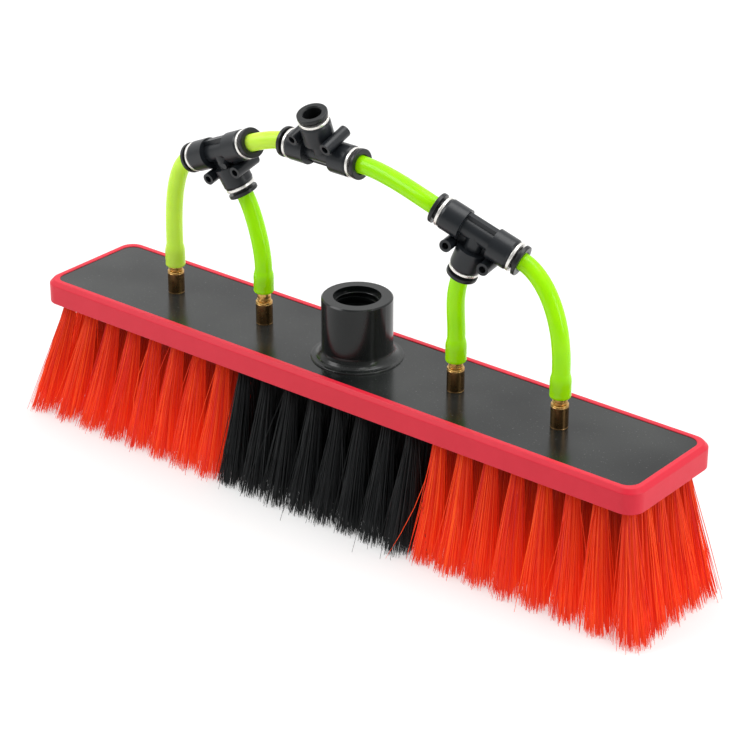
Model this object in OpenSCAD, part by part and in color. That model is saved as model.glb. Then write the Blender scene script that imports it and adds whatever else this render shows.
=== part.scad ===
// Water-fed wash-brush head: a moulded block with a threaded pole socket, a soft bumper
// rim and five rows of flagged bristle tufts. Four brass rinse jets pass down through the
// block and are fed by 8 mm tubing and three push-in tee fittings.
// Frame: the bristle tips stand on z = 0, +X runs along the block, +Z out of the socket.

/* [Block] */
// Length of the block over the bumper rim
block_l = 340; // [300:5:380]
// Width of the block over the bumper rim
block_w = 61; // [60:0.5:70]
// Height of the bumper rim
rim_h = 11.6; // [10.5:0.1:14]
// Plan radius of the rim's corners
corner_r = 7.5; // [6:0.5:12]
// Plan radius of the black panel's corners
panel_corner_r = 6; // [4:0.5:8]
// Width of the rim seen from above
rim_w = 4; // [3.5:0.1:4.5]

/* [Bristles] */
// Length of bristle below the rim
bristle_l = 58; // [45:1:70]
// Number of tufts in each row of each colour zone
tufts_per_zone = 8; // [4:1:8]
// Distance between tufts along a row
tuft_pitch = 14; // [13:0.5:14]
// Distance between rows
row_pitch = 10.1; // [9.9:0.1:10.5]
// Radius of a tuft in its hole
tuft_root_r = 2.6; // [2:0.1:2.8]
// Radius of a tuft at its tips
tuft_tip_r = 6.5; // [4:0.1:6.6]

/* [Pole socket] */
// Height of the socket above the rim
socket_h = 28.8; // [24:0.2:36]
// Outside radius of the socket
socket_r = 16.2; // [15:0.1:18]
// Wall radius of the pole thread's bore
thread_r = 10.4; // [9.5:0.1:11]
// Radius of the plain lead-in at the mouth
mouth_r = 10.9; // [10.5:0.1:12]
// Depth of the plain lead-in
mouth_depth = 2.5; // [2:0.1:4]

/* [Jets and tubing] */
// Distance of the inner jets from the block's centre
jet_inner_x = 55.5; // [55:0.5:56.5]
// Distance of the outer jets from the block's centre
jet_outer_x = 111; // [110.5:0.5:112.5]
// Outside radius of a jet's barrel
jet_r = 3.95; // [3.5:0.05:4.5]
// Outside radius of the tubing
tube_r = 4; // [3.9:0.02:4.02]
// Inside radius of the tubing
tube_bore_r = 2.6; // [2:0.1:2.75]

/* [Tee fittings] */
// Outside radius of a tee's three barrels
barrel_r = 7.1; // [6.9:0.1:7.4]
// Distance from a tee's centre to the end of each barrel
barrel_end = 17.6; // [17.4:0.1:18.4]
// Travel of a release collar
collar_travel = 1.2; // [0.8:0.1:1.2]

/* [Hidden] */
$fn = 48;

RED = [0.96, 0.22, 0.10];
BLACK = [0.11, 0.12, 0.12];
RIM_RED = [0.88, 0.22, 0.30];
BRASS = [0.62, 0.44, 0.18];
LIME = [0.62, 0.95, 0.10];
CHARCOAL = [0.20, 0.21, 0.22];
STEEL = [0.75, 0.76, 0.78];

// Heights
rim_top = bristle_l + rim_h;
core_bottom = bristle_l + 0.6;
panel_z = rim_top - 0.4;
socket_top = rim_top + socket_h;
socket_floor = panel_z + 1.8;

// Block and rim
chamfer_in = 1.5;
chamfer_h = 2;
tongue_inset = 2.4;
tongue_low = bristle_l + 4.2;
tongue_high = bristle_l + 7.4;
corner_steps = 9;
skirt_r = 20.4;
skirt_h = 5;
skirt_edge = 0.7;
skirt_steps = 8;
edge_break = 0.6;

// Bristles
rows = 5;
hole_depth = 7;
anchor_h = 1.7;
anchor_w = 0.6;
anchor_l = 5;
flare_r = 2.95;
end_lean = 12;
row_spread = 1.42;
row_lean = -1.5;
half_run = tuft_pitch * (3 * tufts_per_zone - 1) / 2;

// Jets: heights above the panel
shank_r = 3;
barrel_h = 11.2;
neck_h = 13.4;
barb_h = 22.4;
barb_r = 3.2;
flow_r = 1.2;
orifice_r = 0.6;
nozzle_drop = 1.5;

// Tubing
tube_sides = 16;
curve_steps = 13;
over_barb_r = 4.65;
over_barb_bore = 3.3;
curve_start = rim_top + 27;
// How far each jet tube stops short of its jet's lowest barb
tube_lift = [0.2, 2.3, 0.8, 0.8];

// Tee fittings: distances from the tee's centre along a port
passage_r = 2.8;
seat_r = 4.05;
seat_start = 7;
chamber_start = 9.8;
chamber_r = 5.6;
shoulder = 7.4;
core_r = 4.5;
web_t = 3;
ear_x = 9.55;
ear_z = 9.6;
ear_r = 2.8;
ear_hole_r = 1.6;
ear_half = 7.3;
pip_at = [3.6, 5.7];
pip_r = 1.5;
pip_start = 1;
pip_end = 6.2;
ring_r = 6.9;
ring_t = 1.4;
sleeve_r = 5.2;
sleeve_start = 13.4;
soft_gap = 0.1;
o_ring_r = (chamber_r - tube_r - soft_gap) / 2 - 0.01;
collar_bore_r = 4.15;
neck_r = 4.95;
neck_start = 14.4;
flange_start = 20.4;
flange_end = 22.2;
flange_r = 7;
port_reach = flange_end;

// Each tee: its centre, then its turn about X, Y and Z
LEFT_TEE = [[-78, -1.5, rim_top + 79.5], [-167, -24, -4]];
INLET_TEE = [[-18.5, -0.5, rim_top + 92.5], [20, 0, -1]];
RIGHT_TEE = [[67.5, -1, rim_top + 77], [-179, 22, 10]];
// Ports: 0 and 1 are the two ends of the run, 2 is the branch
PORT_TURN = [-90, 90, 0];

// Geometry helpers

function rounded_outline(l, w, r) = [
    for (q = [0:3], i = [0:corner_steps])
        let (a = 90 * (q + i / corner_steps),
             cx = (l / 2 - r) * (q == 0 || q == 3 ? 1 : -1),
             cy = (w / 2 - r) * (q < 2 ? 1 : -1))
        [cx + r * cos(a), cy + r * sin(a)]
];
function block_outline(inset) =
    rounded_outline(block_l - 2 * inset, block_w - 2 * inset,
                    corner_r + (panel_corner_r - corner_r) * inset / rim_w);
function about_x(t, v) =
    [v.x, v.y * cos(t) - v.z * sin(t), v.y * sin(t) + v.z * cos(t)];
function about_y(t, v) =
    [v.x * cos(t) + v.z * sin(t), v.y, v.z * cos(t) - v.x * sin(t)];
function about_z(t, v) =
    [v.x * cos(t) - v.y * sin(t), v.x * sin(t) + v.y * cos(t), v.z];
function turned(a, v) = about_z(a.z, about_y(a.y, about_x(a.x, v)));
function unit(v) = v / norm(v);
function port_way(tee, port) =
    turned(tee[1], [sin(PORT_TURN[port]), 0, cos(PORT_TURN[port])]);
function port_point(tee, port, reach) = tee[0] + reach * port_way(tee, port);
function bezier(a, b, c, d, t) =
    pow(1 - t, 3) * a + 3 * pow(1 - t, 2) * t * b + 3 * (1 - t) * t * t * c + pow(t, 3) * d;
function curve(a, b, c, d) = [for (i = [0:curve_steps]) bezier(a, b, c, d, i / curve_steps)];

// A closed ring whose plan is the block's outline; each point of the profile is
// [inset, z], going round its section.
module outline_ring(profile) {
    n = len(profile);
    loops = [for (p = profile) [for (q = block_outline(p[0])) [q.x, q.y, p[1]]]];
    m = len(loops[0]);
    polyhedron(
        points = [for (one = loops) each one],
        faces = [
            for (i = [0:n - 1], j = [0:m - 1])
                let (a = i * m + j,
                     b = i * m + (j + 1) % m,
                     c = ((i + 1) % n) * m + (j + 1) % m,
                     d = ((i + 1) % n) * m + j)
                each [[a, c, b], [a, d, c]]
        ]
    );
}

// A hollow tube swept along a path, with an outer and an inner radius at each point
module swept_tube(path, outer, inner) {
    n = len(path);
    s = tube_sides;
    ways = [for (i = [0:n - 1]) unit(path[min(i + 1, n - 1)] - path[max(i - 1, 0)])];
    rings = [
        for (radii = [outer, inner], i = [0:n - 1])
            let (across = unit(cross(ways[i], [0, 1, 0])),
                 up = cross(ways[i], across))
            each [for (j = [0:s - 1])
                path[i] + radii[i] * (cos(360 * j / s) * across + sin(360 * j / s) * up)]
    ];
    polyhedron(
        points = rings,
        faces = [
            for (i = [0:n - 2], j = [0:s - 1])
                let (k = (j + 1) % s, a = i * s, b = a + s, q = n * s)
                each [
                    [a + j, b + k, a + k], [a + j, b + j, b + k],
                    [q + a + j, q + a + k, q + b + k], [q + a + j, q + b + k, q + b + j]
                ],
            for (j = [0:s - 1])
                let (k = (j + 1) % s, q = n * s, e = (n - 1) * s)
                each [
                    [j, k, q + k], [j, q + k, q + j],
                    [e + j, q + e + k, e + k], [e + j, q + e + j, q + e + k]
                ]
        ]
    );
}

// Block

module socket_solid() {
    skirt = [
        for (i = [0:skirt_steps])
            let (a = 90 * i / skirt_steps)
            [skirt_r - (skirt_r - socket_r) * sin(a),
             panel_z + skirt_edge + (skirt_h - skirt_edge) * (1 - cos(a))]
    ];
    rotate_extrude($fn = 96)
        polygon(concat(
            [[0, panel_z - 1], [skirt_r, panel_z - 1]],
            skirt,
            [[socket_r, socket_top - edge_break], [socket_r - edge_break, socket_top],
             [0, socket_top]]
        ));
}

module brush_block() {
    color(BLACK)
    difference() {
        union() {
            translate([0, 0, core_bottom])
                linear_extrude(panel_z - core_bottom) polygon(block_outline(rim_w));
            translate([0, 0, tongue_low])
                linear_extrude(tongue_high - tongue_low) polygon(block_outline(tongue_inset));
            socket_solid();
        }
        translate([0, 0, socket_floor]) cylinder(h = socket_h * 2, r = thread_r);
        translate([0, 0, socket_top - mouth_depth]) cylinder(h = socket_h, r = mouth_r);
        for (x = [-jet_outer_x, -jet_inner_x, jet_inner_x, jet_outer_x])
            translate([x, 0, core_bottom - 1]) cylinder(h = rim_h + 2, r = shank_r);
        for (i = [0:3 * tufts_per_zone - 1], row = [0:rows - 1])
            translate([tuft_x(i), row_y(row), core_bottom - 1])
                cylinder(h = hole_depth + 1, r = tuft_root_r);
    }
}

module rim_bumper() {
    color(RIM_RED)
    outline_ring([
        [0, bristle_l], [0, rim_top - chamfer_h], [chamfer_in, rim_top], [rim_w, rim_top],
        [rim_w, tongue_high], [tongue_inset, tongue_high], [tongue_inset, tongue_low],
        [rim_w, tongue_low], [rim_w, bristle_l]
    ]);
}

// Bristles

function tuft_x(i) = tuft_pitch * i - half_run;
function row_y(row) = row_pitch * (row - (rows - 1) / 2);
function tip_x(x) = x + end_lean * pow(x / half_run, 3);

// One tuft: a plug in its hole and a bundle that fans out and leans to its tip
module tuft(x, y) {
    lean = [tip_x(x) - x, y * (row_spread - 1) + row_lean, -core_bottom];
    reach = norm(lean);
    grow = (tuft_tip_r - flare_r) / reach;
    over = 2;
    translate([x, y, core_bottom]) cylinder(h = hole_depth - anchor_h, r = tuft_root_r);
    intersection() {
        translate([x, y, core_bottom])
            rotate([0, 180 - acos(core_bottom / reach), atan2(lean.y, lean.x)])
            translate([0, 0, -over])
                cylinder(h = reach + 2 * over, r1 = flare_r - over * grow,
                         r2 = tuft_tip_r + over * grow);
        translate([x - 40, y - 40, 0]) cube([80, 80, core_bottom]);
    }
}

module tuft_row(zone, row) {
    for (i = [0:tufts_per_zone - 1])
        tuft(tuft_x(zone * tufts_per_zone + i), row_y(row));
}

module red_left_tufts(row) color(RED) tuft_row(0, row);
module black_tufts(row) color(BLACK) tuft_row(1, row);
module red_right_tufts(row) color(RED) tuft_row(2, row);

// The flat wire that pins each tuft's fold against the bottom of its hole
module tuft_anchors() {
    color(STEEL)
    for (i = [0:3 * tufts_per_zone - 1], row = [0:rows - 1])
        translate([tuft_x(i) - anchor_l / 2, row_y(row) - anchor_w / 2,
                   core_bottom + hole_depth - anchor_h])
            cube([anchor_l, anchor_w, anchor_h]);
}

// Jets

module jet(x) {
    low = core_bottom - nozzle_drop;
    color(BRASS)
    translate([x, 0, 0])
    rotate_extrude()
        polygon([
            [orifice_r, low], [shank_r - 0.5, low], [shank_r, low + 0.5],
            [shank_r, panel_z], [jet_r, panel_z],
            [jet_r, panel_z + barrel_h - 0.5], [jet_r - 0.5, panel_z + barrel_h],
            [barb_r - 0.1, panel_z + barrel_h], [barb_r - 0.1, panel_z + neck_h],
            [barb_r, panel_z + neck_h + 0.6], [barb_r - 0.4, panel_z + neck_h + 3],
            [barb_r, panel_z + neck_h + 3.4], [barb_r - 0.4, panel_z + neck_h + 5.8],
            [barb_r, panel_z + neck_h + 6.2], [barb_r - 0.7, panel_z + barb_h],
            [flow_r, panel_z + barb_h], [flow_r, low + 1.2], [orifice_r, low + 0.8]
        ]);
}

// Tubing

// From a jet's barb up to a tee's port; rise and run_in are the curve's two handles
module jet_tube(number, x, tee, port, rise, run_in) {
    low = panel_z + neck_h + tube_lift[number - 1];
    way = port_way(tee, port);
    mouth = port_point(tee, port, port_reach);
    path = concat(
        [[x, 0, low], [x, 0, low + 0.6], [x, 0, panel_z + barb_h + 0.3],
         [x, 0, panel_z + barb_h + 2.7]],
        curve([x, 0, curve_start], [x, 0, curve_start + rise], mouth + run_in * way, mouth),
        [port_point(tee, port, seat_start + 0.1)]
    );
    plain = len(path) - 4;
    color(LIME)
    swept_tube(
        path,
        concat([over_barb_r - 0.3, over_barb_r, over_barb_r, tube_r + 0.1],
               [for (i = [1:plain]) tube_r]),
        concat([over_barb_bore, over_barb_bore, over_barb_bore, tube_bore_r + 0.1],
               [for (i = [1:plain]) tube_bore_r])
    );
}

// From one tee's port to another's
module cross_tube(tee_a, port_a, tee_b, port_b, handle_a, handle_b) {
    mouth_a = port_point(tee_a, port_a, port_reach);
    mouth_b = port_point(tee_b, port_b, port_reach);
    path = concat(
        [port_point(tee_a, port_a, seat_start + 0.1)],
        curve(mouth_a, mouth_a + handle_a * port_way(tee_a, port_a),
              mouth_b + handle_b * port_way(tee_b, port_b), mouth_b),
        [port_point(tee_b, port_b, seat_start + 0.1)]
    );
    color(LIME)
    swept_tube(path, [for (p = path) tube_r], [for (p = path) tube_bore_r]);
}

// Tee fittings, each drawn about its own centre: run along X, branch along +Z

module at_tee(tee) translate(tee[0]) rotate(tee[1]) children();
module at_port(port) rotate([0, PORT_TURN[port], 0]) children();
module on_ports() for (port = [0:2]) at_port(port) children();

module barrel() {
    rotate_extrude()
        polygon([
            [0, shoulder], [barrel_r, shoulder], [barrel_r, barrel_end - 1.2],
            [barrel_r - 0.5, barrel_end], [0, barrel_end]
        ]);
}

// Children are moulded onto this tee alone
module tee_body() {
    color(CHARCOAL)
    difference() {
        union() {
            on_ports() barrel();
            rotate([0, 90, 0]) cylinder(h = 2 * shoulder + 1, r = core_r, center = true);
            cylinder(h = shoulder + 0.5, r = core_r);
            translate([-shoulder - 0.5, -web_t / 2, -barrel_r + 0.8])
                cube([2 * shoulder + 1, web_t, barrel_r + shoulder]);
            translate([-ear_x, -web_t / 2 + 0.2, 4])
                cube([2 * ear_x, web_t - 0.4, ear_z - 4]);
            for (side = [-1, 1])
                translate([side * ear_x, 0, ear_z])
                    rotate([90, 0, 0]) cylinder(h = 2 * ear_half, r = ear_r, center = true);
            children();
        }
        on_ports() {
            translate([0, 0, -0.5]) cylinder(h = seat_start + 1, r = passage_r);
            translate([0, 0, seat_start]) cylinder(h = barrel_end, r = seat_r);
            translate([0, 0, chamber_start]) cylinder(h = barrel_end, r = chamber_r);
        }
        for (side = [-1, 1])
            translate([side * ear_x, 0, ear_z])
                rotate([90, 0, 0])
                    cylinder(h = 2 * ear_half + 2, r = ear_hole_r, center = true);
    }
}

// The stub of the mould's gate, beside one ear
module gate_pip() {
    translate([pip_at.x, pip_start, pip_at.y])
        rotate([-90, 0, 0]) cylinder(h = pip_end - pip_start, r = pip_r);
}

// The pressed-in sleeve that closes each port and shows as a pale band
module port_ring() {
    rotate_extrude()
        polygon([
            [sleeve_r, sleeve_start], [chamber_r, sleeve_start], [chamber_r, barrel_end],
            [ring_r - 0.2, barrel_end], [ring_r, barrel_end + 0.2],
            [ring_r, barrel_end + ring_t - 0.2], [ring_r - 0.2, barrel_end + ring_t],
            [sleeve_r, barrel_end + ring_t]
        ]);
}

// The toothed steel washer that holds the tube
module grab_ring() {
    difference() {
        rotate_extrude()
            polygon([
                [tube_r + soft_gap, 12], [tube_r + soft_gap, 12.3],
                [chamber_r, 12.9], [chamber_r, 12.6]
            ]);
        for (a = [0:45:135])
            rotate(a) translate([-4.8, -0.25, 11.5]) cube([9.6, 0.5, 2]);
    }
}

module o_ring() {
    translate([0, 0, chamber_start + o_ring_r + 0.05])
        rotate_extrude()
            translate([tube_r + soft_gap + o_ring_r, 0]) circle(r = o_ring_r, $fn = 24);
}

module port_rings() color(STEEL) on_ports() port_ring();
module grab_rings() color(STEEL) on_ports() grab_ring();
module o_rings() color(BLACK) on_ports() o_ring();

// A release collar: pushed in, its neck spreads the grab ring's teeth
module collar(port) {
    color(BLACK)
    at_port(port)
    difference() {
        rotate_extrude()
            polygon([
                [collar_bore_r, neck_start], [neck_r - 0.4, neck_start],
                [neck_r, neck_start + 0.6], [neck_r, flange_start],
                [flange_r - 0.3, flange_start], [flange_r, flange_start + 0.3],
                [flange_r, flange_end - 0.4], [flange_r - 0.4, flange_end],
                [collar_bore_r + 0.5, flange_end], [collar_bore_r, flange_end - 0.5]
            ]);
        for (a = [45, 135])
            rotate(a) translate([-10, -0.4, neck_start - 1]) cube([20, 0.8, 4]);
    }
}

brush_block();
rim_bumper();
tuft_anchors();
red_left_tufts(0);  // red_left_tufts_1
red_left_tufts(1);  // red_left_tufts_2
red_left_tufts(2);  // red_left_tufts_3
red_left_tufts(3);  // red_left_tufts_4
red_left_tufts(4);  // red_left_tufts_5
black_tufts(0);  // black_tufts_1
black_tufts(1);  // black_tufts_2
black_tufts(2);  // black_tufts_3
black_tufts(3);  // black_tufts_4
black_tufts(4);  // black_tufts_5
red_right_tufts(0);  // red_right_tufts_1
red_right_tufts(1);  // red_right_tufts_2
red_right_tufts(2);  // red_right_tufts_3
red_right_tufts(3);  // red_right_tufts_4
red_right_tufts(4);  // red_right_tufts_5
jet(-jet_outer_x);  // jet_1
jet(-jet_inner_x);  // jet_2
jet(jet_inner_x);  // jet_3
jet(jet_outer_x);  // jet_4
jet_tube(1, -jet_outer_x, LEFT_TEE, 0, 10, 15);  // jet_tube_1
jet_tube(2, -jet_inner_x, LEFT_TEE, 2, 10, 9);  // jet_tube_2
jet_tube(3, jet_inner_x, RIGHT_TEE, 2, 8, 11);  // jet_tube_3
jet_tube(4, jet_outer_x, RIGHT_TEE, 1, 24, 11);  // jet_tube_4
cross_tube(LEFT_TEE, 1, INLET_TEE, 0, 5, 5);  // left_cross_tube
cross_tube(INLET_TEE, 1, RIGHT_TEE, 0, 14, 10);  // right_cross_tube
at_tee(LEFT_TEE) tee_body() gate_pip();  // left_tee_body
at_tee(LEFT_TEE) port_rings();  // left_tee_port_rings
at_tee(LEFT_TEE) grab_rings();  // left_tee_grab_rings
at_tee(LEFT_TEE) o_rings();  // left_tee_o_rings
at_tee(LEFT_TEE) collar(0);  // left_tee_outer_collar
at_tee(LEFT_TEE) collar(1);  // left_tee_inner_collar
at_tee(LEFT_TEE) collar(2);  // left_tee_branch_collar
at_tee(INLET_TEE) tee_body();  // inlet_tee_body
at_tee(INLET_TEE) port_rings();  // inlet_tee_port_rings
at_tee(INLET_TEE) grab_rings();  // inlet_tee_grab_rings
at_tee(INLET_TEE) o_rings();  // inlet_tee_o_rings
at_tee(INLET_TEE) collar(0);  // inlet_tee_left_collar
at_tee(INLET_TEE) collar(1);  // inlet_tee_right_collar
at_tee(INLET_TEE) collar(2);  // inlet_tee_top_collar
at_tee(RIGHT_TEE) tee_body();  // right_tee_body
at_tee(RIGHT_TEE) port_rings();  // right_tee_port_rings
at_tee(RIGHT_TEE) grab_rings();  // right_tee_grab_rings
at_tee(RIGHT_TEE) o_rings();  // right_tee_o_rings
at_tee(RIGHT_TEE) collar(0);  // right_tee_inner_collar
at_tee(RIGHT_TEE) collar(1);  // right_tee_outer_collar
at_tee(RIGHT_TEE) collar(2);  // right_tee_branch_collar
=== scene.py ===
import math

import bpy
import numpy as np
from mathutils import Matrix, Vector


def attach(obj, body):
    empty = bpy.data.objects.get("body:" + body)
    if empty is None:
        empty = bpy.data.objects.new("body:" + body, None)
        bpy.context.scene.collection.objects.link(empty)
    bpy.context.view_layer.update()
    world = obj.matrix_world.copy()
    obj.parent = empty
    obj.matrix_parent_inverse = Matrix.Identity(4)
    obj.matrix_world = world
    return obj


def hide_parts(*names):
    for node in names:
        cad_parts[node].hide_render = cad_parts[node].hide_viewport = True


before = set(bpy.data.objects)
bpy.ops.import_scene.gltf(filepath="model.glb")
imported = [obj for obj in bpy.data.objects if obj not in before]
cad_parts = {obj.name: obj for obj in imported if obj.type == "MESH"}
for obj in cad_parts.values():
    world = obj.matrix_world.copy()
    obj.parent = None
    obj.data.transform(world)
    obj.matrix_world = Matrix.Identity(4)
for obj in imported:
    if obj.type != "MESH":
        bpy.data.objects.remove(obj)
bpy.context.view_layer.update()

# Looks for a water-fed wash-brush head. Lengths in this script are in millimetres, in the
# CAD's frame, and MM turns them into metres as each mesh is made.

MM = 0.001
SEED = 7
rng = np.random.default_rng(SEED)


# ---------------------------------------------------------------- driving dimensions

BRISTLE_L = 58.0
RIM_H = 11.6
RIM_TOP = BRISTLE_L + RIM_H
CORE_BOTTOM = BRISTLE_L + 0.6
PANEL_Z = RIM_TOP - 0.4
BLOCK_L, BLOCK_W, CORNER_R, PANEL_CORNER_R, RIM_W = 340.0, 61.0, 7.5, 6.0, 4.0
TONGUE_INSET, TONGUE_LOW, TONGUE_HIGH = 2.4, BRISTLE_L + 4.2, BRISTLE_L + 7.4

SOCKET_TOP = RIM_TOP + 28.8
THREAD_R, MOUTH_R, MOUTH_DEPTH = 10.4, 10.9, 2.5
THREAD_SINK = 0.15  # how far the ridge's root goes into the bore's wall
THREAD_PITCH, THREAD_CREST = 3.6, 9.6
SOCKET_FLOOR = PANEL_Z + 1.8
SKIRT_R = 20.4

TUFTS, ROWS, PER_ZONE = 24, 5, 8
TUFT_PITCH, ROW_PITCH, ROOT_R, TIP_R = 14.0, 10.1, 2.6, 6.5
HALF_RUN = TUFT_PITCH * (TUFTS - 1) / 2
END_LEAN, ROW_SPREAD, ROW_LEAN = 12.0, 1.3, -5.0

JETS = (-111.0, -55.5, 55.5, 111.0)
BARREL_R, BARREL_H, NECK_H, BARB_H = 3.95, 11.2, 13.4, 22.4
TUBE_R, TUBE_BORE = 4.0, 2.6
TUBE_LIFT = (0.2, 2.3, 0.8, 0.8)
CURVE_START = RIM_TOP + 27

# Tees: centre, then turns about X, Y and Z in degrees. Ports 0 and 1 end the run
# and 2 is the branch.
TEES = {
    "left": ((-78, -1.5, RIM_TOP + 79.5), (-167, -24, -4)),
    "inlet": ((-18.5, -0.5, RIM_TOP + 92.5), (20, 0, -1)),
    "right": ((67.5, -1, RIM_TOP + 77), (-179, 22, 10)),
}
COLLARS = {
    "left": ("outer", "inner", "branch"),
    "inlet": ("left", "right", "top"),
    "right": ("inner", "outer", "branch"),
}
SEAT_START, FLANGE_START, FLANGE_END, FLANGE_R = 7.0, 20.4, 22.2, 7.0
NECK_START, COLLAR_NECK_R, COLLAR_BORE_R = 14.4, 4.95, 4.15
BARREL_END, RING_T, RING_R, CHAMBER_R, SLEEVE_R, SLEEVE_START = 17.6, 1.4, 6.9, 5.6, 5.2, 13.4


# ---------------------------------------------------------------- mesh helpers

def tee_matrix(tee):
    """The tee's own frame, in millimetres."""
    centre, turns = TEES[tee]
    turn = Matrix.Identity(3)
    for axis, angle in zip("XYZ", turns):
        turn = Matrix.Rotation(math.radians(angle), 3, axis) @ turn
    return Matrix.Translation(centre) @ turn.to_4x4()


def port_matrix(tee, port):
    """A frame at the tee's centre whose Z points out of the port."""
    angle = (-90, 90, 0)[port]
    return tee_matrix(tee) @ Matrix.Rotation(math.radians(angle), 4, "Y")


def port_point(tee, port, reach):
    return np.array(port_matrix(tee, port) @ Vector((0, 0, reach)))


def port_way(tee, port):
    return np.array(port_matrix(tee, port).to_3x3() @ Vector((0, 0, 1)))


def add_piece(name, verts, faces, body, slot, material, replaces=(), sharp=40):
    """A mesh piece from points in millimetres; edges sharper than the angle stay crisp."""
    mesh = bpy.data.meshes.new(name)
    points = (np.asarray(verts, float) * MM).tolist()
    mesh.from_pydata(points, [], faces)
    mesh.validate()
    piece = bpy.data.objects.new(name, mesh)
    bpy.context.scene.collection.objects.link(piece)
    finish_mesh(piece, material, sharp)
    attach(piece, body)
    if replaces:
        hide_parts(*replaces)
    return piece


def finish_mesh(piece, material, sharp=40):
    mesh = piece.data
    mesh.materials.clear()
    mesh.materials.append(material)
    mesh.shade_smooth()
    if sharp:
        mesh.set_sharp_from_angle(angle=math.radians(sharp))


def fillet(points, closed=True, steps=4):
    """Rounds a profile. Each point is (a, b) or (a, b, radius)."""
    out = []
    n = len(points)
    for i, point in enumerate(points):
        here = np.array(point[:2], float)
        radius = point[2] if len(point) > 2 else 0
        if not radius or (not closed and i in (0, n - 1)):
            out.append(here)
            continue
        before = np.array(points[i - 1][:2], float) - here
        after = np.array(points[(i + 1) % n][:2], float) - here
        u, v = before / np.linalg.norm(before), after / np.linalg.norm(after)
        half = math.acos(np.clip(u @ v, -1, 1)) / 2
        reach = min(radius / math.tan(half),
                    0.45 * np.linalg.norm(before), 0.45 * np.linalg.norm(after))
        radius = reach * math.tan(half)
        middle = here + (u + v) / np.linalg.norm(u + v) * radius / math.sin(half)
        start, end = here + u * reach - middle, here + v * reach - middle
        sweep = math.acos(np.clip(start @ end / radius ** 2, -1, 1))
        out.append(here + u * min(reach * 1.3, 0.5 * np.linalg.norm(before)))
        for k in range(steps + 1):
            t = k / steps
            out.append(middle + (math.sin((1 - t) * sweep) * start
                                 + math.sin(t * sweep) * end) / math.sin(sweep))
        out.append(here + v * min(reach * 1.3, 0.5 * np.linalg.norm(after)))
    return out


def grid_faces(rows, columns, wrap_rows=False, wrap_columns=True):
    faces = []
    for i in range(rows if wrap_rows else rows - 1):
        for j in range(columns if wrap_columns else columns - 1):
            k, n = (j + 1) % columns, (i + 1) % rows
            faces.append((i * columns + j, i * columns + k, n * columns + k, n * columns + j))
    return faces


def lathe(profile, segments=96, frame_matrix=None):
    """Turns a closed profile of (radius, height) about Z; returns points and faces."""
    angles = np.linspace(0, 2 * math.pi, segments, endpoint=False)
    verts = [(r * math.cos(a), r * math.sin(a), z) for r, z in profile for a in angles]
    faces = grid_faces(len(profile), segments, wrap_rows=True)
    if frame_matrix is not None:
        verts = [tuple(frame_matrix @ Vector(v)) for v in verts]
    return verts, faces


def outline(inset, steps=14):
    """The block's plan, counter-clockwise, moved in by the inset."""
    l, w = BLOCK_L / 2 - inset, BLOCK_W / 2 - inset
    r = CORNER_R + (PANEL_CORNER_R - CORNER_R) * inset / RIM_W
    points = []
    for quarter, (sx, sy) in enumerate(((1, 1), (-1, 1), (-1, -1), (1, -1))):
        for k in range(steps + 1):
            a = math.pi / 2 * (quarter + k / steps)
            points.append((sx * (l - r) + r * math.cos(a), sy * (w - r) + r * math.sin(a)))
    return points


def loft_outline(profile):
    """A closed ring whose plan is the block's; profile points are (inset, height)."""
    verts = [(x, y, z) for inset, z in profile for x, y in outline(inset)]
    return verts, grid_faces(len(profile), len(outline(0)), wrap_rows=True)


def frames_along(path):
    """Two unit vectors across the path at each point, turning as little as they can."""
    path = np.asarray(path, float)
    ways = np.gradient(path, axis=0)
    ways /= np.linalg.norm(ways, axis=1)[:, None]
    across = np.cross(ways[0], (0, 1, 0))
    rows = []
    for way in ways:
        across = across - way * (across @ way)
        across /= np.linalg.norm(across)
        rows.append((across, np.cross(way, across)))
    return rows


def sweep(path, radii, sides):
    """Rings of points round a path, one radius for each point."""
    angles = np.linspace(0, 2 * math.pi, sides, endpoint=False)
    verts = []
    for point, radius, (u, v) in zip(np.asarray(path, float), radii, frames_along(path)):
        verts.extend(point + radius * (math.cos(a) * u + math.sin(a) * v) for a in angles)
    return verts


def hollow_tube(path, outer, inner, sides=40):
    """A tube with a wall, closed by a flat ring at each end."""
    back = list(range(len(path)))[::-1]
    outside = np.array(sweep(path, outer, sides)).reshape(len(path), sides, 3)
    inside = np.array(sweep(path, inner, sides)).reshape(len(path), sides, 3)[back]
    verts = np.concatenate([outside, inside]).reshape(-1, 3)
    return verts, grid_faces(2 * len(path), sides, wrap_rows=True)


def bezier(a, b, c, d, count):
    t = np.linspace(0, 1, count)[:, None]
    return (1 - t) ** 3 * a + 3 * (1 - t) ** 2 * t * b + 3 * (1 - t) * t * t * c + t ** 3 * d


# ---------------------------------------------------------------- material helpers

# The colour sockets of a Mix node: first colour, second colour and result
MIX_A, MIX_B, MIX_OUT = 6, 7, 2


def new_material(name, color, roughness, metallic=0.0, specular=0.5):
    """A material and its Principled shader."""
    material = bpy.data.materials.new(name)
    material.use_nodes = True
    shader = material.node_tree.nodes["Principled BSDF"]
    shader.inputs["Base Color"].default_value = (*color, 1)
    shader.inputs["Roughness"].default_value = roughness
    shader.inputs["Metallic"].default_value = metallic
    shader.inputs["IOR"].default_value = 1.5
    shader.inputs["Specular IOR Level"].default_value = specular
    return material, shader


def add_node(material, kind, **settings):
    node = material.node_tree.nodes.new(kind)
    for key, value in settings.items():
        if key in node.inputs.keys():
            node.inputs[key].default_value = value
        else:
            setattr(node, key, value)
    return node


def join(material, out, into):
    material.node_tree.links.new(out, into)


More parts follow.
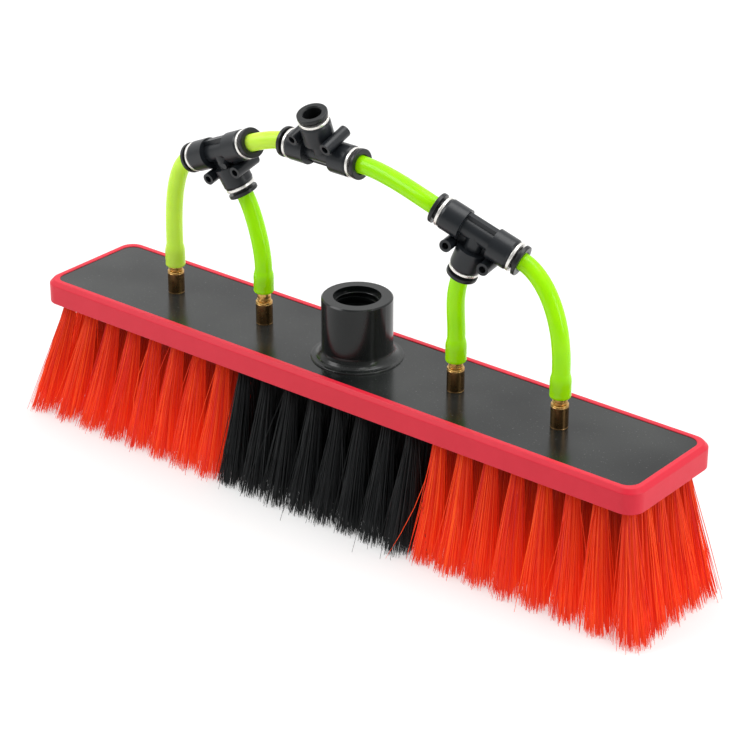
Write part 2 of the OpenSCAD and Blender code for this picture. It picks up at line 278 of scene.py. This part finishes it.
def noise(material, scale, detail=4.0, roughness=0.6, stretch=(1, 1, 1)):
    """Noise in object space; the scale is in cycles per metre."""
    place = add_node(material, "ShaderNodeTexCoord")
    mapping = add_node(material, "ShaderNodeMapping", Scale=stretch)
    field = add_node(material, "ShaderNodeTexNoise", Scale=scale, Detail=detail,
                     Roughness=roughness)
    join(material, place.outputs["Object"], mapping.inputs["Vector"])
    join(material, mapping.outputs["Vector"], field.inputs["Vector"])
    return field.outputs["Fac"]


def span(material, value, low, high):
    """Maps 0..1 to low..high."""
    node = add_node(material, "ShaderNodeMapRange")
    node.inputs["To Min"].default_value = low
    node.inputs["To Max"].default_value = high
    join(material, value, node.inputs["Value"])
    return node.outputs["Result"]


def bump(material, shader, height, strength, distance):
    """Raises the surface by up to the distance, in metres."""
    node = add_node(material, "ShaderNodeBump", Strength=strength, Distance=distance)
    join(material, height, node.inputs["Height"])
    join(material, node.outputs["Normal"], shader.inputs["Normal"])
    return node


def tint(material, shader, value, dark, light):
    """Colours the surface from dark to light by a value."""
    ramp = add_node(material, "ShaderNodeMix", data_type="RGBA")
    ramp.inputs[MIX_A].default_value = (*dark, 1)
    ramp.inputs[MIX_B].default_value = (*light, 1)
    join(material, value, ramp.inputs[0])
    join(material, ramp.outputs[MIX_OUT], shader.inputs["Base Color"])


def blend(material, shader, value, color):
    """Mixes a second colour over the surface's own by a value."""
    under = shader.inputs["Base Color"].links[0].from_socket
    both = add_node(material, "ShaderNodeMix", data_type="RGBA")
    both.inputs[MIX_B].default_value = (*color, 1)
    join(material, value, both.inputs[0])
    join(material, under, both.inputs[MIX_A])
    join(material, both.outputs[MIX_OUT], shader.inputs["Base Color"])


def by_height(material, low, high):
    """0 below the low height and 1 above the high one, both in millimetres."""
    place = add_node(material, "ShaderNodeTexCoord")
    height = add_node(material, "ShaderNodeSeparateXYZ")
    join(material, place.outputs["Object"], height.inputs[0])
    ramp = add_node(material, "ShaderNodeMapRange")
    ramp.inputs["From Min"].default_value = low * MM
    ramp.inputs["From Max"].default_value = high * MM
    join(material, height.outputs["Z"], ramp.inputs["Value"])
    return ramp.outputs["Result"]


# ---------------------------------------------------------------- materials

def block_plastic():
    """Glossy black moulding, a little wavy, with faint scuffs, specks of dust and broad patches of
    lighter base colour that are partly painted reflection.
    """
    material, shader = new_material("block_plastic", (0.008, 0.009, 0.009), 0.2, specular=0.34)
    broad = noise(material, 35, 3)
    # Broad random patches of base colour; their lighter end is partly painted reflection, standing
    # in for the glossy panel's reflection of the bright sweep.
    haze_and_painted_reflection = span(material, noise(material, 16, 2), -1.0, 2.0)
    tint(material, shader, haze_and_painted_reflection, (0.002, 0.003, 0.003), (0.026, 0.028, 0.027))
    dust = span(material, noise(material, 1100, 1), -10.4, 4.6)
    on_panel = span(material, by_height(material, RIM_TOP, RIM_TOP + 4), 1, 0)
    specks = add_node(material, "ShaderNodeMath", operation="MULTIPLY", use_clamp=True)
    join(material, dust, specks.inputs[0])
    join(material, on_panel, specks.inputs[1])
    blend(material, shader, specks.outputs[0], (0.08, 0.08, 0.08))
    join(material, span(material, broad, 0.14, 0.27), shader.inputs["Roughness"])
    sink = bump(material, shader, noise(material, 22, 1), 0.5, 0.0006)
    grain = bump(material, shader, noise(material, 900, 6), 0.08, 0.00004)
    join(material, sink.outputs["Normal"], grain.inputs["Normal"])
    return material


def bumper_rubber():
    """Soft satin thermoplastic rubber with a very fine moulded grain."""
    material, shader = new_material("bumper_rubber", (0.64, 0.012, 0.036), 0.42, specular=0.3)
    tint(material, shader, noise(material, 60, 3), (0.62, 0.012, 0.032), (0.71, 0.018, 0.043))
    join(material, span(material, noise(material, 400, 3), 0.36, 0.5),
         shader.inputs["Roughness"])
    sag = bump(material, shader, noise(material, 30, 1), 0.4, 0.0005)
    grain = bump(material, shader, noise(material, 2600, 4), 0.12, 0.00006)
    join(material, sag.outputs["Normal"], grain.inputs["Normal"])
    return material


def fitting_plastic(name, color, roughness):
    """Fine-grained injection-moulded nylon."""
    material, shader = new_material(name, color, roughness, specular=0.38)
    light = tuple(1.35 * c for c in color)
    tint(material, shader, noise(material, 180, 4), color, light)
    join(material, span(material, noise(material, 700, 3), roughness - 0.06, roughness + 0.08),
         shader.inputs["Roughness"])
    bump(material, shader, noise(material, 3200, 4), 0.2, 0.00006)
    return material


def plated_ring():
    material, shader = new_material("port_ring", (0.86, 0.84, 0.80), 0.28, metallic=0.75)
    join(material, span(material, noise(material, 900, 3), 0.2, 0.4),
         shader.inputs["Roughness"])
    bump(material, shader, noise(material, 2500, 2), 0.1, 0.00003)
    return material


def spring_steel():
    material, shader = new_material("spring_steel", (0.6, 0.6, 0.6), 0.3, metallic=1.0)
    bump(material, shader, noise(material, 2500, 2), 0.1, 0.00003)
    return material


def seal_rubber():
    material, shader = new_material("seal_rubber", (0.02, 0.02, 0.02), 0.6)
    bump(material, shader, noise(material, 2500, 2), 0.1, 0.00003)
    return material


def jet_brass():
    """Turned brass, darker and patchy on the barrel and bright from the shoulder up."""
    material, shader = new_material("jet_brass", (0.42, 0.26, 0.09), 0.26, metallic=1.0)
    patches = noise(material, 500, 5)
    tint(material, shader, patches, (0.13, 0.075, 0.03), (0.34, 0.20, 0.08))
    shoulder = PANEL_Z + BARREL_H - 1.2
    blend(material, shader, by_height(material, shoulder - 0.1, shoulder + 0.1),
          (0.62, 0.38, 0.12))
    join(material, span(material, patches, 0.2, 0.38), shader.inputs["Roughness"])
    turned = noise(material, 300, 2, stretch=(0.02, 0.02, 12))
    bump(material, shader, turned, 0.25, 0.00006)
    return material


def lime_tubing(name, dark, light, glow):
    """Clear-tinted polyurethane tube with a little painted glow: emission standing in for its
    fluorescent dye.
    """
    material, shader = new_material(name, light, 0.2, specular=0.2)
    shader.inputs["Subsurface Weight"].default_value = 0.5
    shader.inputs["Subsurface Radius"].default_value = (0.7, 1.0, 0.1)
    shader.inputs["Subsurface Scale"].default_value = 0.004
    # Painted glow: the tube emits light though it is no lamp.
    shader.inputs["Emission Color"].default_value = (*light, 1)
    shader.inputs["Emission Strength"].default_value = glow
    barb_top = PANEL_Z + BARB_H
    past_barb = by_height(material, barb_top - 2, barb_top + 3)
    tint(material, shader, past_barb, tuple(0.75 * c for c in dark), dark)
    blend(material, shader, span(material, noise(material, 45, 2), -0.4, 1.1), light)
    join(material, span(material, noise(material, 300, 3), 0.12, 0.26),
         shader.inputs["Roughness"])
    bump(material, shader, noise(material, 260, 2), 0.12, 0.00010)
    return material


def bristle(name, root, tip, roughness, glow=0.0):
    """Filaments, each with its own random shade; painted shade darkens them towards the roots and
    a painted glow brightens them towards the split tips.
    """
    material, shader = new_material(name, tip, roughness, specular=0.3)
    along = add_node(material, "ShaderNodeAttribute", attribute_name="along")
    shade = add_node(material, "ShaderNodeAttribute", attribute_name="shade")
    # Painted glow: emission that grows towards the tips stands in for light passing through the
    # filaments.
    shader.inputs["Emission Color"].default_value = (*tip, 1)
    join(material, span(material, along.outputs["Fac"], 0, glow),
         shader.inputs["Emission Strength"])
    # Painted shade: the darker root colour stands for the shade down among the tufts.
    tint(material, shader, along.outputs["Fac"], root, tip)
    mixed = shader.inputs["Base Color"].links[0].from_socket
    vary = add_node(material, "ShaderNodeHueSaturation")
    join(material, mixed, vary.inputs["Color"])
    join(material, span(material, shade.outputs["Fac"], 0.66, 1.24), vary.inputs["Value"])
    join(material, span(material, shade.outputs["Fac"], 0.490, 0.514), vary.inputs["Hue"])
    join(material, vary.outputs["Color"], shader.inputs["Base Color"])
    join(material, span(material, shade.outputs["Fac"], roughness - 0.08, roughness + 0.1),
         shader.inputs["Roughness"])
    return material


BLOCK = block_plastic()
BUMPER = bumper_rubber()
FITTING = fitting_plastic("fitting_plastic", (0.009, 0.011, 0.0135), 0.31)
COLLAR = fitting_plastic("collar_plastic", (0.009, 0.010, 0.011), 0.3)
RING = plated_ring()
SPRING = spring_steel()
SEAL = seal_rubber()
BRASS = jet_brass()
# The last number of each tubing is its painted glow.
TUBING = lime_tubing("lime_tubing", (0.27, 0.68, 0.0), (0.37, 0.79, 0.0), 0.13)
# A paler copy of the tubing: painted light for the back light on the far tubes.
BACKLIT_TUBING = lime_tubing("backlit_lime_tubing", (0.48, 0.78, 0.05), (0.62, 0.88, 0.09), 0.12)
# The bristles' root colours are painted shade, and the red ones' last number is a painted glow
# towards the tips.
RED = bristle("red_bristle", (0.30, 0.003, 0.002), (0.94, 0.046, 0.011), 0.45, 0.24)
BLACK = bristle("black_bristle", (0.004, 0.004, 0.005), (0.013, 0.015, 0.016), 0.4)


# ---------------------------------------------------------------- block, socket and rim

def make_rim():
    profile = fillet([
        (0, BRISTLE_L, 0.5), (0, RIM_TOP - 2, 0.9), (1.5, RIM_TOP, 0.7),
        (RIM_W, RIM_TOP, 0.35), (RIM_W, TONGUE_HIGH), (TONGUE_INSET, TONGUE_HIGH),
        (TONGUE_INSET, TONGUE_LOW), (RIM_W, TONGUE_LOW), (RIM_W, BRISTLE_L, 0.3),
    ])
    verts, faces = loft_outline(profile)
    add_piece("rim_bumper_soft", verts, faces, "brush_head", "bumper_rubber", BUMPER,
              ["rim_bumper"])


def make_socket_thread():
    """The coarse internal thread: one ridge on a helix up the bore."""
    pitch, crest, sides_per_turn = THREAD_PITCH, THREAD_CREST, 72
    root = THREAD_R + THREAD_SINK
    low, high = SOCKET_FLOOR + 2.5, SOCKET_TOP - MOUTH_DEPTH - 1.5
    count = int((high - low) / pitch * sides_per_turn)
    section = [(root, -1.15), (crest, -0.62), (crest, 0.62), (root, 1.15)]
    verts = []
    for i in range(count):
        a = 2 * math.pi * i / sides_per_turn
        fade = min(1, i / 14, (count - 1 - i) / 14)
        for r, dz in section:
            r = root - (root - r) * fade
            verts.append((r * math.cos(a), r * math.sin(a), low + pitch * i / sides_per_turn + dz))
    faces = [tuple(reversed(f)) for f in grid_faces(count, len(section))]
    faces += [(0, 1, 2, 3), tuple(4 * (count - 1) + k for k in (3, 2, 1, 0))]
    add_piece("socket_thread", verts, faces, "brush_head", "block_plastic", BLOCK)
    ledge = SOCKET_TOP - MOUTH_DEPTH
    profile = fillet([
        (root, ledge - 1.0), (crest + 0.1, ledge - 0.75, 0.1),
        (crest, ledge - 0.2, 0.12), (crest + 0.2, ledge, 0.12), (MOUTH_R + 0.15, ledge + 0.05),
    ])
    verts, faces = lathe(profile)
    add_piece("socket_ledge", verts, faces, "brush_head", "block_plastic", BLOCK)


def make_skirt_lip():
    """The rounded lip where the socket's skirt meets the panel."""
    profile = fillet([
        (SKIRT_R - 0.9, PANEL_Z + 0.2), (SKIRT_R - 0.9, PANEL_Z + 0.82, 0.05),
        (SKIRT_R + 0.55, PANEL_Z + 0.66, 0.5), (SKIRT_R + 0.75, PANEL_Z - 0.15),
    ])
    verts, faces = lathe(profile)
    add_piece("socket_skirt_lip", verts, faces, "brush_head", "block_plastic", BLOCK)


# ---------------------------------------------------------------- jets and tubing

def make_jet(index, x):
    z = PANEL_Z
    top = z + BARREL_H
    profile = fillet([
        (0.6, CORE_BOTTOM - 1.5), (2.5, CORE_BOTTOM - 1.5), (3.0, CORE_BOTTOM - 1.0),
        (3.0, z - 0.3), (BARREL_R, z - 0.3), (BARREL_R, z + 0.25, 0.1),
        (BARREL_R - 0.12, z + 0.45, 0.1), (BARREL_R, z + 0.7, 0.1),
        (BARREL_R, top - 1.35, 0.1), (BARREL_R - 0.35, top - 1.05, 0.1),
        (BARREL_R - 0.05, top - 0.75, 0.12), (BARREL_R - 0.12, top - 0.2, 0.15),
        (BARREL_R - 0.75, top, 0.2), (2.85, top + 0.05, 0.1), (2.85, top + 0.5, 0.1),
        (3.25, top + 0.7, 0.1), (3.25, top + 1.1, 0.1), (2.85, top + 1.3, 0.1),
        (2.85, top + 1.7, 0.1), (3.2, top + 1.9, 0.1), (3.2, z + NECK_H + 0.6, 0.1),
        (2.8, z + NECK_H + 3, 0.05), (3.2, z + NECK_H + 3.4, 0.05), (2.8, z + NECK_H + 5.8),
        (3.2, z + NECK_H + 6.2), (2.5, z + BARB_H), (1.2, z + BARB_H), (1.2, CORE_BOTTOM - 0.3),
    ], steps=3)
    verts, faces = lathe(profile, 64, Matrix.Translation((x, 0, 0)))
    add_piece(f"brass_jet_{index}", verts, faces, "brush_head", "jet_brass", BRASS,
              [f"jet_{index}"])


def barb_radius(rise):
    """Outside radius of a tube over the barb, by height above the tube's end."""
    lip = 4.35 + 0.3 * min(1, rise / 0.5) ** 0.5
    ridges = 0.07 * (math.exp(-((rise - 1.0) / 0.8) ** 2) + math.exp(-((rise - 3.9) / 0.9) ** 2)
                     + math.exp(-((rise - 6.8) / 1.0) ** 2))
    ease = np.clip((rise - 8.0) / 3.6, 0, 1)
    fall = ease * ease * (3 - 2 * ease)
    return (lip + ridges) * (1 - fall) + TUBE_R * fall


def make_jet_tube(index, tee, port, rise, run_in):
    x, low = JETS[index - 1], PANEL_Z + NECK_H + TUBE_LIFT[index - 1]
    mouth, way = port_point(tee, port, FLANGE_END), port_way(tee, port)
    straight = [np.array((x, 0, low + h)) for h in np.linspace(0, CURVE_START - low, 26)[:-1]]
    start = np.array((x, 0, CURVE_START))
    bend = bezier(start, start + (0, 0, rise), mouth + run_in * way, mouth, 40)
    path = straight + list(bend) + [port_point(tee, port, SEAT_START + 0.1)]
    outer = [barb_radius(p[2] - low) for p in straight] + [TUBE_R] * (len(bend) + 1)
    over = [3.25 if p[2] < PANEL_Z + BARB_H + 0.3 else TUBE_BORE for p in straight]
    inner = over + [TUBE_BORE] * (len(bend) + 1)
    verts, faces = hollow_tube(path, outer, inner)
    # Painted light: the far tube takes the paler back-lit copy.
    material = BACKLIT_TUBING if index == 1 else TUBING
    add_piece(f"lime_jet_tube_{index}", verts, faces, "brush_head", "lime_tubing", material,
              [f"jet_tube_{index}"])


def make_cross_tube(name, tee_a, tee_b, handle_a, handle_b):
    mouth_a, mouth_b = port_point(tee_a, 1, FLANGE_END), port_point(tee_b, 0, FLANGE_END)
    bend = bezier(mouth_a, mouth_a + handle_a * port_way(tee_a, 1),
                  mouth_b + handle_b * port_way(tee_b, 0), mouth_b, 40)
    path = [port_point(tee_a, 1, SEAT_START + 0.1), *bend,
            port_point(tee_b, 0, SEAT_START + 0.1)]
    verts, faces = hollow_tube(path, [TUBE_R] * len(path), [TUBE_BORE] * len(path))
    # Painted light: the far cross tube takes the paler back-lit copy.
    material = BACKLIT_TUBING if tee_a == "left" else TUBING
    add_piece("lime_" + name, verts, faces, "brush_head", "lime_tubing", material, [name])


# ---------------------------------------------------------------- tee fittings

def make_collar(tee, port):
    node = f"{tee}_tee_{COLLARS[tee][port]}_collar"
    body = f"{tee}_{COLLARS[tee][port]}_release"
    profile = fillet([
        (COLLAR_BORE_R, NECK_START), (COLLAR_NECK_R - 0.4, NECK_START),
        (COLLAR_NECK_R, NECK_START + 0.6), (COLLAR_NECK_R, FLANGE_START, 0.15),
        (FLANGE_R, FLANGE_START, 0.25), (FLANGE_R, FLANGE_END, 0.45),
        (COLLAR_BORE_R + 0.55, FLANGE_END, 0.2), (COLLAR_BORE_R, FLANGE_END - 0.6, 0.2),
    ])
    verts, faces = lathe(profile, 72, port_matrix(tee, port))
    add_piece(node + "_moulded", verts, faces, body, "collar_plastic", COLLAR, [node])


def make_port_rings(tee):
    profile = fillet([
        (SLEEVE_R, SLEEVE_START), (CHAMBER_R, SLEEVE_START), (CHAMBER_R, BARREL_END),
        (RING_R, BARREL_END, 0.3), (RING_R, BARREL_END + RING_T, 0.35),
        (SLEEVE_R, BARREL_END + RING_T, 0.1),
    ])
    verts, faces = [], []
    for port in range(3):
        more, these = lathe(profile, 72, port_matrix(tee, port))
        faces += [tuple(len(verts) + i for i in f) for f in these]
        verts += more
    body = "inlet_tee" if tee == "inlet" else "brush_head"
    add_piece(f"{tee}_plated_rings", verts, faces, body, "port_ring", RING,
              [f"{tee}_tee_port_rings"])


def soften(node, material, width, angle=35):
    """Gives a CAD node its material and small moulded edge radii."""
    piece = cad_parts[node]
    finish_mesh(piece, material, sharp=0)
    bevel = piece.modifiers.new("edge_radius", "BEVEL")
    bevel.width = width * MM
    bevel.segments = 3
    bevel.limit_method = "ANGLE"
    bevel.angle_limit = math.radians(angle)
    bevel.harden_normals = True
    even = piece.modifiers.new("even_normals", "WEIGHTED_NORMAL")
    even.keep_sharp = True


# ---------------------------------------------------------------- bristles

def tuft_tip(x, y):
    return x + END_LEAN * (x / HALF_RUN) ** 3, y * ROW_SPREAD + ROW_LEAN


def disc(count, radius):
    """Points spread evenly over a disc."""
    r = radius * np.sqrt((np.arange(count) + 0.5) / count)
    a = np.arange(count) * math.pi * (3 - math.sqrt(5))
    return np.stack([r * np.cos(a), r * np.sin(a)], 1)


# Filaments in a tuft and rings along each; how far the roots fill their hole, and how unevenly
FILAMENTS, RINGS, SIDES = 280, 6, 3
ROOT_FILL, ROOT_JITTER = 0.92, 0.10
# At the tips: how far they flare past the CAD's cone, scatter and end above the floor
TIP_FLARE, TIP_JITTER, TIP_GAP, TIP_UNEVEN = 0.9, 1.3, 0.2, 0.8
STRAY_SHARE, STRAY_JITTER, STRAY_BOW = 0.016, 5.0, 4
# Where the outer tufts' colour starts, between root and tip; they get less of the painted root
# shade than the inner tufts.
OUTER_ROOT_SHADE = 0.62


def tuft_filaments(x, y):
    """Ring centres and radii of one tuft's filaments, and their shades."""
    tip = np.array(tuft_tip(x, y))
    roots = disc(FILAMENTS, ROOT_R * ROOT_FILL) + rng.normal(0, ROOT_JITTER, (FILAMENTS, 2))
    swirl = rng.normal(0, 0.10)
    turn = np.array([[math.cos(swirl), -math.sin(swirl)], [math.sin(swirl), math.cos(swirl)]])
    spread = (TIP_R + TIP_FLARE) / ROOT_R * rng.uniform(0.92, 1.08)
    tips = tip + (roots @ turn.T) * spread + rng.normal(0, TIP_JITTER, (FILAMENTS, 2))
    stray = rng.random(FILAMENTS) < STRAY_SHARE
    tips[stray] += rng.normal(0, STRAY_JITTER, (int(stray.sum()), 2))
    ends = np.abs(rng.normal(0, TIP_UNEVEN, FILAMENTS)) + TIP_GAP
    bow = rng.normal(0, 0.35, (FILAMENTS, 2)) + rng.normal(0, 0.3, 2)
    bow[stray] *= STRAY_BOW
    t = np.linspace(0, 1, RINGS)
    flare = t ** 1.12
    root = np.array((x, y)) + roots
    plan = root[:, None, :] + flare[None, :, None] * (tips - root)[:, None, :]
    plan += np.sin(math.pi * t)[None, :, None] * bow[:, None, :]
    height = CORE_BOTTOM + 1.0 + t[None, :] * (ends[:, None] - CORE_BOTTOM - 1.0)
    centres = np.concatenate([plan, height[:, :, None]], 2)
    thick = rng.uniform(0.18, 0.25, FILAMENTS)
    radii = thick[:, None] * (1 - 0.55 * t[None, :] ** 3)
    return centres, radii, np.clip(rng.normal(0.5, 0.22, FILAMENTS), 0, 1)


def make_tufts(zone, row, material, slot, node):
    """One row of tufts in one colour zone, as loose filaments."""
    all_verts, all_faces, along, shades = [], [], [], []
    angles = np.linspace(0, 2 * math.pi, SIDES, endpoint=False)
    ring = np.stack([np.cos(angles), np.sin(angles), 0 * angles], 1)
    base = 0
    y = ROW_PITCH * (row - (ROWS - 1) / 2)
    for i in range(PER_ZONE):
        x = TUFT_PITCH * (zone * PER_ZONE + i) - HALF_RUN
        centres, radii, shade = tuft_filaments(x, y)
        verts = centres[:, :, None, :] + radii[:, :, None, None] * ring[None, None]
        count = len(verts)
        all_verts.append(verts.reshape(-1, 3))
        # Painted shade: inner tufts start at the darkest root colour, for the shade between tufts,
        # and outer tufts start partway up.
        inner = 0 < row < ROWS - 1 and 0 < zone * PER_ZONE + i < TUFTS - 1
        rise = np.linspace(0, 1, RINGS) if inner else np.linspace(OUTER_ROOT_SHADE, 1, RINGS)
        along.append(np.tile(np.repeat(rise, SIDES), count))
        shades.append(np.repeat(shade, RINGS * SIDES))
        strip = np.array(grid_faces(RINGS, SIDES))[:, ::-1]
        starts = base + np.arange(count) * RINGS * SIDES
        all_faces.append((starts[:, None, None] + strip[None]).reshape(-1, 4))
        base += count * RINGS * SIDES
    quads = np.concatenate(all_faces)
    caps = np.concatenate([
        np.arange(0, base, RINGS * SIDES)[:, None] + np.array([0, 1, 2])[None],
        np.arange(0, base, RINGS * SIDES)[:, None] + (RINGS - 1) * SIDES
        + np.array([2, 1, 0])[None],
    ])
    faces = [tuple(f) for f in quads.tolist()] + [tuple(f) for f in caps.tolist()]
    piece = add_piece(node + "_filaments", np.concatenate(all_verts), faces, "brush_head",
                      slot, material, [node], sharp=0)
    for name, values in (("along", np.concatenate(along)), ("shade", np.concatenate(shades))):
        field = piece.data.attributes.new(name, "FLOAT", "POINT")
        field.data.foreach_set("value", values.astype(np.float32))


# ---------------------------------------------------------------- camera, light and floor

# The camera: its turn, height and tilt in degrees, lens, and place in millimetres
VIEW_AZIMUTH, VIEW_ELEVATION, VIEW_ROLL = 38.934, 26.203, 0.05
VIEW_LENS, VIEW_DISTANCE, VIEW_ASIDE, VIEW_ABOVE = 121.369, 1138.93, 7.948, -9.442


def make_camera():
    """Looks down on the block from the front right, square to the floor."""
    azimuth, elevation, roll = map(math.radians, (VIEW_AZIMUTH, VIEW_ELEVATION, VIEW_ROLL))
    back = Vector((math.sin(azimuth) * math.cos(elevation),
                   -math.cos(azimuth) * math.cos(elevation), math.sin(elevation)))
    right = (-back).cross(Vector((0, 0, 1))).normalized()
    up = right.cross(-back)
    place = Vector((0, 0, RIM_TOP)) + back * VIEW_DISTANCE + right * VIEW_ASIDE
    place += up * VIEW_ABOVE
    x_axis = math.cos(roll) * right + math.sin(roll) * up
    y_axis = -math.sin(roll) * right + math.cos(roll) * up
    camera = bpy.data.objects.new("camera", bpy.data.cameras.new("camera"))
    camera.data.sensor_width = 36
    camera.data.lens = VIEW_LENS
    camera.data.clip_start, camera.data.clip_end = 0.05, 20
    camera.matrix_world = Matrix((
        (x_axis.x, y_axis.x, back.x, place.x * MM), (x_axis.y, y_axis.y, back.y, place.y * MM),
        (x_axis.z, y_axis.z, back.z, place.z * MM), (0, 0, 0, 1)))
    bpy.context.scene.collection.objects.link(camera)
    bpy.context.scene.camera = camera


FLOOR_HALF, FLOOR_GLOW = 6.0, 0.47


def make_floor():
    half = FLOOR_HALF
    mesh = bpy.data.meshes.new("studio_floor")
    mesh.from_pydata([(-half, -half, 0), (half, -half, 0), (half, half, 0), (-half, half, 0)],
                     [], [(0, 1, 2, 3)])
    floor = bpy.data.objects.new("studio_floor", mesh)
    bpy.context.scene.collection.objects.link(floor)
    material, shader = new_material("floor_paper", (0.5, 0.5, 0.495), 0.8, specular=0.1)
    shader.inputs["Emission Color"].default_value = (1, 1, 1, 1)
    shader.inputs["Emission Strength"].default_value = FLOOR_GLOW
    mesh.materials.append(material)


def add_area(name, place, target, size, power):
    lamp = bpy.data.lights.new(name, "AREA")
    lamp.shape = "RECTANGLE"
    lamp.size, lamp.size_y = size
    lamp.energy = power
    light = bpy.data.objects.new(name, lamp)
    light.location = place
    aim = Vector(target) - Vector(place)
    light.rotation_euler = aim.to_track_quat("-Z", "Y").to_euler()
    bpy.context.scene.collection.objects.link(light)


# The world is brightest towards this direction, and its strength falls smoothly away from it
BRIGHT_SIDE = (-0.40, 0.83, 0.40)
WORLD_RANGE = (("From Min", -0.6), ("From Max", 0.5), ("To Min", 0.30), ("To Max", 1.0))
LIT_POINT = (0, 0, 0.08)
# Each soft box: name, place and size in metres, power in watts
SOFT_BOXES = (
    ("key", (-0.9, -0.8, 1.2), (0.8, 0.8), 9),
    ("top", (0.2, 0.3, 1.5), (1.2, 0.8), 10),
    ("side", (1.5, 0.1, 0.7), (0.5, 0.9), 7),
)


def make_light():
    """A bright sweep behind and above the object, a dim room in front, and three soft boxes."""
    world = bpy.data.worlds.new("studio")
    world.use_nodes = True
    tree = world.node_tree
    background = tree.nodes["Background"]
    background.inputs["Color"].default_value = (1, 1, 1, 1)
    place = tree.nodes.new("ShaderNodeTexCoord")
    toward = tree.nodes.new("ShaderNodeVectorMath")
    toward.operation = "DOT_PRODUCT"
    toward.inputs[1].default_value = BRIGHT_SIDE
    level = tree.nodes.new("ShaderNodeMapRange")
    level.interpolation_type = "SMOOTHSTEP"
    for name, value in WORLD_RANGE:
        level.inputs[name].default_value = value
    tree.links.new(place.outputs["Generated"], toward.inputs[0])
    tree.links.new(toward.outputs["Value"], level.inputs["Value"])
    tree.links.new(level.outputs["Result"], background.inputs["Strength"])
    bpy.context.scene.world = world
    for name, place_m, size, power in SOFT_BOXES:
        add_area(name, place_m, LIT_POINT, size, power)
    bpy.context.scene.view_settings.view_transform = "Standard"
    bpy.context.scene.view_settings.look = "None"


# ---------------------------------------------------------------- assembly

make_camera()
make_floor()
make_light()

make_rim()
soften("brush_block", BLOCK, 0.4)
make_socket_thread()
make_skirt_lip()
for number, jet_x in enumerate(JETS, 1):
    make_jet(number, jet_x)
make_jet_tube(1, "left", 0, 10, 15)
make_jet_tube(2, "left", 2, 10, 9)
make_jet_tube(3, "right", 2, 8, 11)
make_jet_tube(4, "right", 1, 24, 11)
make_cross_tube("left_cross_tube", "left", "inlet", 5, 5)
make_cross_tube("right_cross_tube", "inlet", "right", 14, 10)
for tee_name in TEES:
    soften(f"{tee_name}_tee_body", FITTING, 0.3)
    make_port_rings(tee_name)
    finish_mesh(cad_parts[f"{tee_name}_tee_grab_rings"], SPRING)
    finish_mesh(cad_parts[f"{tee_name}_tee_o_rings"], SEAL)
    for port_number in range(3):
        make_collar(tee_name, port_number)
finish_mesh(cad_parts["tuft_anchors"], SPRING)
for zone_number, (zone_name, bristle_look, bristle_slot) in enumerate((
        ("red_left", RED, "red_bristle"), ("black", BLACK, "black_bristle"),
        ("red_right", RED, "red_bristle"))):
    for row_number in range(ROWS):
        make_tufts(zone_number, row_number, bristle_look, bristle_slot,
                   f"{zone_name}_tufts_{row_number + 1}")
